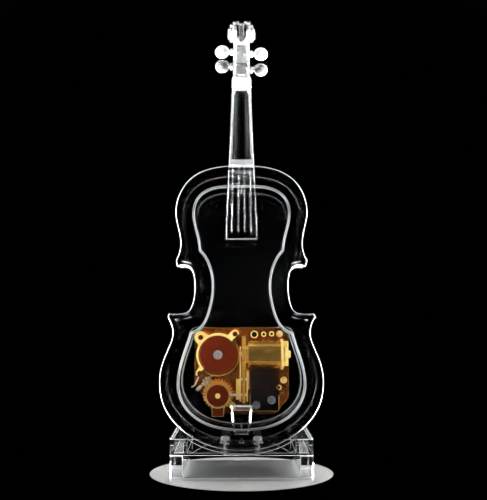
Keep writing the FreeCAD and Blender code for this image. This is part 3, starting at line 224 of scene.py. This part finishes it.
# whitened acrylics, a painted highlight: half white on rounded edges, then 40, 7 and 2.5 per cent white
CORNER_HIGHLIGHT = highlight_plastic("acrylic_corners_painted_highlight", 0.5, 0.12, (0.94, 0.96, 0.97, 1))
STRONG_HIGHLIGHT = highlight_plastic("acrylic_painted_highlight_strong", 0.6, 0.14)
MILD_HIGHLIGHT = highlight_plastic("acrylic_painted_highlight_mild", 0.93, 0.04)
FAINT_HIGHLIGHT = highlight_plastic("acrylic_painted_highlight_faint", 0.975, 0.03)

ALONG_Z = (1.0, 1.0, 14.0)
GOLD = metal("gold_plate_bright", (0.90, 0.54, 0.13), (1.0, 0.72, 0.27), 0.07, 0.13, ALONG_Z)
# a deep dark-orange copy of the gold plate for the bedplate, comb base and cover screws: painted shade of the
# dark room they mirror
GOLD_BED_DARK = metal("gold_plate_painted_dark", (0.46, 0.13, 0.02), (0.62, 0.20, 0.04), 0.14, 0.24, scale=420.0)
# a paler, rougher copy of the gold plate: painted highlight on edges and on the train plates
GOLD_LIT_EDGE = metal("gold_plate_edges_painted_highlight", (0.96, 0.68, 0.20), (1.0, 0.80, 0.32), 0.36, 0.50)
# a near-black maroon copy of the gold plate: painted reflection of the dark room in front, on faces toward
# the camera
GOLD_DARK_REFLECTION = metal("gold_plate_painted_dark_reflection", (0.17, 0.022, 0.008), (0.24, 0.035, 0.012), 0.30, 0.36, scale=90.0)
GOLD_DRUM = metal("gold_plate_drum", (0.86, 0.44, 0.07), (0.98, 0.60, 0.14), 0.13, 0.19, ALONG_Z)
BRASS_GEAR = metal("brass_gear", (0.84, 0.52, 0.12), (0.95, 0.66, 0.22), 0.22, 0.34, (12.0, 1.0, 1.0))
TURNED = metal("turned_steel", (0.30, 0.30, 0.31), (0.42, 0.42, 0.43), 0.24, 0.36, (8.0, 8.0, 1.0))
STEEL = metal("ground_steel", (0.06, 0.06, 0.065), (0.13, 0.13, 0.135), 0.10, 0.20, (16.0, 1.0, 1.0))
BRIGHT = metal("nickel_plate", (0.78, 0.79, 0.80), (0.92, 0.93, 0.94), 0.26, 0.40, (1.0, 10.0, 1.0))
LEAD = metal("lead_weight", (0.26, 0.26, 0.27), (0.38, 0.38, 0.39), 0.45, 0.65)

SLOT_MATERIAL = {"clear_acrylic": CLEAR, "gold_plate": GOLD, "comb_steel": STEEL, "bright_steel": BRIGHT,
                 "lead": LEAD}
SPECIAL = {
    GOLD_BED_DARK: ("bedplate", "comb_base", "cover_screws"),
    # these gold parts wear the painted highlight all over
    GOLD_LIT_EDGE: ("train_plate_left", "train_plate_right", "end_flange", "bearing_right", "governor_arbor"),
    GOLD_DRUM: ("cylinder_tube", "cylinder_pins"),
    BRASS_GEAR: ("cylinder_gear", "great_wheel", "idler_wheel", "cross_wheel", "cross_pinion",
                 "cylinder_pinion", "governor_wheel"),
    TURNED: ("comb_screws", "winding_arbor"),
}
MATERIAL_OF = {node: SLOT_MATERIAL[slot] for node, slot in SLOT_OF.items()}
MATERIAL_OF.update({node: mat for mat, nodes in SPECIAL.items() for node in nodes})

# metal nodes whose rounded edges take a paler, rougher copy of a metal: painted highlight
LIT_RIM_OF = {node: GOLD_LIT_EDGE for node in ("bedplate", "barrel_cover", "governor_bracket", "comb_base",
                                       "train_plate_left", "train_plate_right", "bearing_right",
                                       "cover_screws")}
# a bright nickel ring on the comb screws and the winding arbor's end: painted highlight
LIT_RIM_OF.update({"comb_screws": BRIGHT, "winding_arbor": BRIGHT})

# places in a clear node's list of materials, the clear ones and the painted highlights, and in a rimmed metal
# node's list: plain, painted highlight, painted dark reflection
CLEAR_AND_HIGHLIGHT_SET = (CLEAR, WALLS, CORNER_HIGHLIGHT, STRONG_HIGHLIGHT, MILD_HIGHLIGHT, FAINT_HIGHLIGHT)
FLAT, WALL, LIT_CORNER, LIT_STRONG, LIT_MILD, LIT_FAINT = range(len(CLEAR_AND_HIGHLIGHT_SET))
PLAIN, LIT_RIM, DARK_FACE = range(3)


# ---- which face has which finish, and where light is painted -------------------------------
def head_highlight(face, x, z):
    """Painted highlight on the neck, pegbox and scroll: strong below the heel's top, between the nut and the
    pegbox, on the upper pegbox front and on the neck's sides; mild on the rest of the pegbox and scroll, none
    in the scroll's middle.
    """
    if NUT_TOP < z < PEGBOX_Z or z < HEEL_TOP:
        return LIT_STRONG
    if PEGBOX_TURN < z < SCROLL_Z and face.normal.y < -0.6:
        return LIT_STRONG
    if z > PEGBOX_Z:
        clear_or_mild = WALL if z > SCROLL_Z and abs(x) < SCROLL_GROOVE else LIT_MILD
        return LIT_CORNER if face.material_index == LIT_CORNER else clear_or_mild
    return LIT_STRONG if abs(face.normal.x) > 0.88 else None


def clear_or_highlight(node, face):
    """The look of one face of a clear node, by its place and the way it faces: clear, or a painted highlight
    of some strength.
    """
    x, y, z = [v / MM for v in face.center]
    rounded = face.material_index == LIT_CORNER
    steep = abs(face.normal.y) < 0.9
    look = None
    # painted highlight by node: strong on the nut, pegs 1 and 3, the stand's underside and the waist's
    # ledges; mild on pegs 2 and 4; faint on the string ridges and fingerboard sides; rounded faces take it
    # too, on the back plate only at the back
    if node in ("nut", "peg_1", "peg_3"):
        look = LIT_STRONG
    elif node == "neck_and_scroll":
        look = head_highlight(face, x, z)
    elif node in ("peg_2", "peg_4"):
        look = LIT_CORNER if rounded else LIT_MILD
    elif node == "fingerboard" and (y < STRING_Y or abs(face.normal.y) < 0.85):
        look = LIT_FAINT
    elif node == "stand_base" and z < STAND_FLOOR:
        look = LIT_STRONG
    elif node in ("rib_left", "rib_right"):
        if abs(face.normal.z) > 0.9 and abs(x) > WAIST_X and WAIST_LOW < z < WAIST_HIGH:
            look = LIT_STRONG
    elif node == "back_plate":
        at_back = y > BODY_BACK - 0.4
        look = LIT_CORNER if rounded and at_back else WALL if steep else FLAT
    if look is None:
        look = LIT_CORNER if rounded else WALL if steep else FLAT
    return look


def metal_light_or_shade(node, face):
    """One face of a rimmed metal node: its own metal, a paler copy as painted highlight, or a dark copy as
    painted reflection of the dark room.
    """
    x, y, z = [v / MM for v in face.center]
    flat = face.normal.y < -0.95 and face.material_index == PLAIN
    # the bedplate's front strip takes the paler gold: painted highlight
    if node == "bedplate" and y < BED_FRONT - 0.4:
        return LIT_RIM
    # faces toward the camera on the governor bracket and in the barrel cover's middle take the dark copy:
    # painted dark reflection
    if node == "governor_bracket" and flat:
        return DARK_FACE
    if node == "barrel_cover":
        if flat and math.hypot(x - BARREL_X, z - BARREL_Z) < BARREL_DARK_R:
            return DARK_FACE
        # the barrel cover's upper-left half takes the paler gold: a painted highlight, as if lit from the
        # upper left
        if z - BARREL_Z > x - BARREL_X:
            return LIT_RIM
    return face.material_index


# ---- pieces --------------------------------------------------------------------------------
def finished_mesh(node, width, segments, clear):
    """A copy of a CAD node's mesh: welded, its flats made whole, its edges rounded."""
    bm = bmesh.new()
    bm.from_mesh(NODES[node].data)
    bmesh.ops.remove_doubles(bm, verts=bm.verts, dist=1e-6)
    bmesh.ops.dissolve_limit(bm, angle_limit=math.radians(0.4), verts=bm.verts, edges=bm.edges)
    if clear:
        bm.normal_update()
        for v in bm.verts:
            v.co = v.co - v.normal * SHRINK * MM
    if node in CUTS:
        point, normal = CUTS[node]
        bmesh.ops.bisect_plane(bm, geom=bm.verts[:] + bm.edges[:] + bm.faces[:], dist=1e-7,
                               plane_co=[v * MM for v in point], plane_no=normal)
    if width:
        sharp = [e for e in bm.edges
                 if len(e.link_faces) == 2 and e.calc_face_angle() > math.radians(32.0)]
        # rounded faces get the painted highlight: whitened acrylic on clear nodes, a paler metal on rimmed
        # metal nodes
        edge_highlight_index = LIT_CORNER if clear else LIT_RIM if node in LIT_RIM_OF else -1
        bmesh.ops.bevel(bm, geom=sharp, offset=width, offset_type="OFFSET", segments=segments, profile=0.5,
                        affect="EDGES", clamp_overlap=True, material=edge_highlight_index)
    mesh = bpy.data.meshes.new(node + "_mesh")
    bm.to_mesh(mesh)
    bm.free()
    mesh.shade_smooth()
    mesh.set_sharp_from_angle(angle=math.radians(50.0))
    return mesh


def finished_piece(node):
    """One CAD node's visible piece, riding the node's body and taking its place."""
    clear = SLOT_OF[node] == "clear_acrylic"
    mesh = finished_mesh(node, EDGE.get(node, 0.0) * MM, 3 if clear else 2, clear)
    obj = bpy.data.objects.new(node + "_finished", mesh)
    weighted = obj.modifiers.new("flat_faces", "WEIGHTED_NORMAL")
    weighted.keep_sharp = True
    weighted.weight = 90
    scene.collection.objects.link(obj)
    if clear:
        materials, look = CLEAR_AND_HIGHLIGHT_SET, clear_or_highlight
    elif node in LIT_RIM_OF:
        materials, look = (MATERIAL_OF[node], LIT_RIM_OF[node], GOLD_DARK_REFLECTION), metal_light_or_shade
    else:
        materials, look = (MATERIAL_OF[node],), None
    for mat in materials:
        mesh.materials.append(mat)
    if look:
        for face in mesh.polygons:
            face.material_index = look(node, face)
    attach(obj, BODY_OF[node])
    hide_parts(node)


for node in NODES:
    finished_piece(node)


# ---- stage ---------------------------------------------------------------------------------
def pale_floor():
    """A plain pale disc under the stand, its top at the floor's height and its rim sloped outwards."""
    mesh = bpy.data.meshes.new("floor_disc")
    bm = bmesh.new()
    bmesh.ops.create_cone(bm, cap_ends=True, segments=160, radius1=FLOOR_FOOT_R * MM, radius2=FLOOR_R * MM,
                          depth=FLOOR_T * MM)
    bmesh.ops.translate(bm, vec=(0, 0, -FLOOR_T / 2 * MM), verts=bm.verts)
    bm.to_mesh(mesh)
    bm.free()
    floor = bpy.data.objects.new("floor_disc", mesh)
    scene.collection.objects.link(floor)
    mat, nt, bsdf = new_material("pale_floor")
    cloud = noise(nt, 25.0, 3.0)
    nt.links.new(blend_colors(nt, cloud, 0.3, (0.42, 0.42, 0.41, 1), 0.7, (0.47, 0.47, 0.46, 1)),
                 bsdf.inputs["Base Color"])
    bsdf.inputs["Roughness"].default_value = 0.55
    mesh.materials.append(mat)


def studio_world():
    """A faint white glow all round that fades to black straight in front and straight behind."""
    world = bpy.data.worlds.new("studio")
    world.use_nodes = True
    nt = world.node_tree
    coord = nt.nodes.new("ShaderNodeTexCoord")
    split = nt.nodes.new("ShaderNodeSeparateXYZ")
    nt.links.new(coord.outputs["Generated"], split.inputs["Vector"])
    along = nt.nodes.new("ShaderNodeMath")
    along.operation = "ABSOLUTE"
    nt.links.new(split.outputs["Y"], along.inputs[0])
    glow = map_range(nt, along.outputs[0], 0.92, 0.76, 0.0, 0.05)
    glow.interpolation_type = "SMOOTHSTEP"
    background = nt.nodes["Background"]
    background.inputs["Color"].default_value = WHITE
    nt.links.new(glow.outputs["Result"], background.inputs["Strength"])
    scene.world = world


def softbox(name, at, target, size, power, spread=180.0):
    """A soft rectangular light. It isn't seen itself, neither directly nor through the clear plastic."""
    data = bpy.data.lights.new(name, "AREA")
    data.shape = "RECTANGLE"
    data.size, data.size_y = size
    data.energy = power
    data.spread = math.radians(spread)
    obj = bpy.data.objects.new(name, data)
    obj.location = Vector(at)
    obj.rotation_euler = (Vector(target) - Vector(at)).to_track_quat("-Z", "Y").to_euler()
    obj.visible_camera = False
    obj.visible_transmission = False
    scene.collection.objects.link(obj)


def studio_camera():
    """Straight from the front, low, with the frame shifted up to hold the whole height."""
    data = bpy.data.cameras.new("camera")
    camera = bpy.data.objects.new("camera", data)
    scene.collection.objects.link(camera)
    camera.location = (0.0, -0.449, 0.0824)
    camera.rotation_euler = (math.radians(90), 0, 0)
    data.lens = 61.5
    data.sensor_width = 36.0
    data.shift_x = 0.004
    data.shift_y = 0.13
    data.dof.use_dof = False
    scene.camera = camera


pale_floor()
studio_world()
SIDES = {"left": -1, "right": 1}
# the low side lights make the rounded edges of the clear plastic shine against the dark
for side, x in SIDES.items():
    softbox(side + "_low", (0.40 * x, 0.04, -0.16), (0, 0, 0.10), (0.30, 0.22), 240.0)
for side, x in SIDES.items():
    softbox(side + "_high", (0.45 * x, 0.0, 0.20), (0, 0, 0.20), (0.30, 0.18), 2.4, spread=40.0)
softbox("top_box", (0.0, 0.02, 0.62), (0, 0, 0.11), (0.40, 0.36), 1.9)
softbox("front_box", (-0.16, -0.34, 0.50), (0, 0, 0.07), (0.16, 0.12), 0.2)
studio_camera()

scene.view_settings.view_transform = "Standard"
scene.cycles.max_bounces = 24
scene.cycles.transmission_bounces = 24
scene.cycles.transparent_max_bounces = 16
scene.cycles.glossy_bounces = 8
